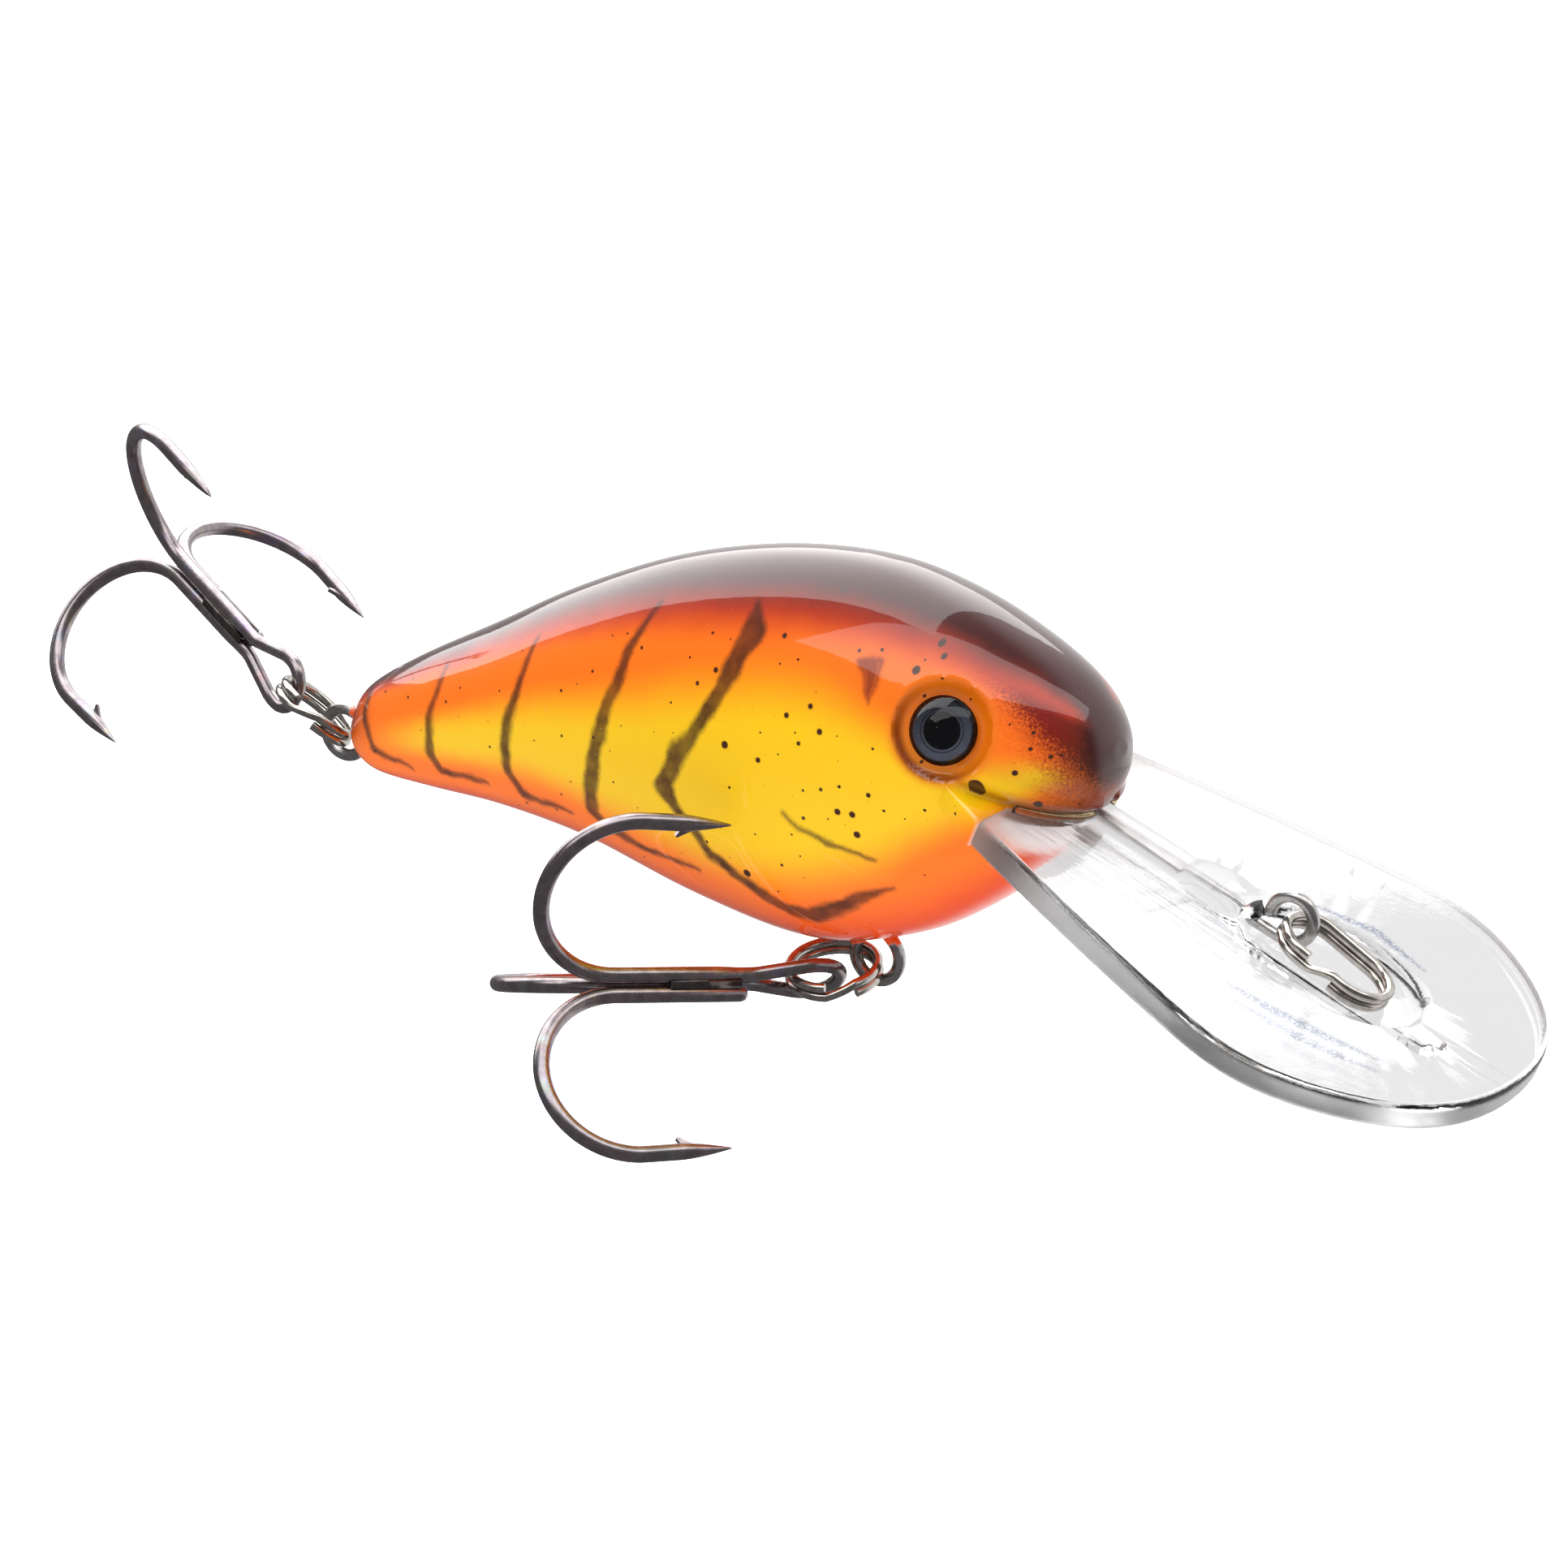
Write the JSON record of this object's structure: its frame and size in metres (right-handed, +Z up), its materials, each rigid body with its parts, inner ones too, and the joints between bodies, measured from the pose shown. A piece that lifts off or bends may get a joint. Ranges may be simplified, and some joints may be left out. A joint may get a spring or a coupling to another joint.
{
  "type": "deep-diving crankbait lure",
  "caption": "Hollow fish-shaped crankbait lure with a wide clear diving lip, a line tie with a split ring, and treble hooks on split rings at belly and tail.",
  "frame": {"origin": "middle of the wire at the free end of the line-tie ring, where a line or a snap is fastened", "axes": "+X from the tail to the diving lip along the body, +Y to the lure's left side, +Z up with the body level"},
  "size_m": [0.1217, 0.0422, 0.0484],
  "materials": {
    "painted_body": "glossy clear-coated plastic with an airbrushed crayfish pattern",
    "clear_lip": "clear polished polycarbonate with fine scuffs",
    "clear_glue": "clear amber epoxy",
    "stainless_wire": "drawn stainless wire, slightly dull",
    "split_ring_metal": "bright nickel plate",
    "hook_metal": "black nickel plate",
    "braze_metal": "plated over braze",
    "eye_print": "printed foil with a black pupil",
    "eye_lens": "clear glossy epoxy dome",
    "ballast_metal": "bare steel slug"
  },
  "bodies": {
    "body": {"right_shell": "painted_body", "left_shell": "painted_body", "diving_lip": "clear_lip", "lip_glue_bead": "clear_glue", "line_tie_wire": "stainless_wire", "belly_hanger": "stainless_wire", "tail_hanger": "stainless_wire", "right_eye_disc": "eye_print", "right_eye_dome": "eye_lens", "left_eye_disc": "eye_print", "left_eye_dome": "eye_lens", "front_ballast": "ballast_metal", "rear_ballast": "ballast_metal"},
    "line_ring": {"line_tie_ring": "split_ring_metal"},
    "belly_ring": {"belly_split_ring": "split_ring_metal"},
    "belly_treble": {"belly_hook_double": "hook_metal", "belly_hook_single": "hook_metal", "belly_hook_braze": "braze_metal"},
    "tail_ring": {"tail_split_ring": "split_ring_metal"},
    "tail_treble": {"tail_hook_double": "hook_metal", "tail_hook_single": "hook_metal", "tail_hook_braze": "braze_metal"}
  },
  "joints": [
    {"name": "line_ring_swing", "type": "hinge", "parent": "body", "child": "line_ring", "pos_m": [-0.00432, 0, 0.00388], "axis": [0, -1, 0], "range_deg": [0, 150]},
    {"name": "belly_ring_swing", "type": "hinge", "parent": "body", "child": "belly_ring", "pos_m": [-0.03795, 0, -0.00015], "axis": [0, -1, 0], "range_deg": [0, 110]},
    {"name": "belly_treble_swing", "type": "hinge", "parent": "belly_ring", "child": "belly_treble", "pos_m": [-0.04285, -0.00406, -0.00068], "axis": [0.6161, -0.7331, -0.288], "range_deg": [-5, 34]},
    {"name": "tail_ring_swing", "type": "hinge", "parent": "body", "child": "tail_ring", "pos_m": [-0.0831, 0, 0.0153], "axis": [0, -1, 0], "range_deg": [-60, 98]},
    {"name": "tail_treble_swing", "type": "hinge", "parent": "tail_ring", "child": "tail_treble", "pos_m": [-0.08757, -0.00079, 0.01916], "axis": [0.3681, -0.9053, 0.2121], "range_deg": [-20, 60]}
  ]
}
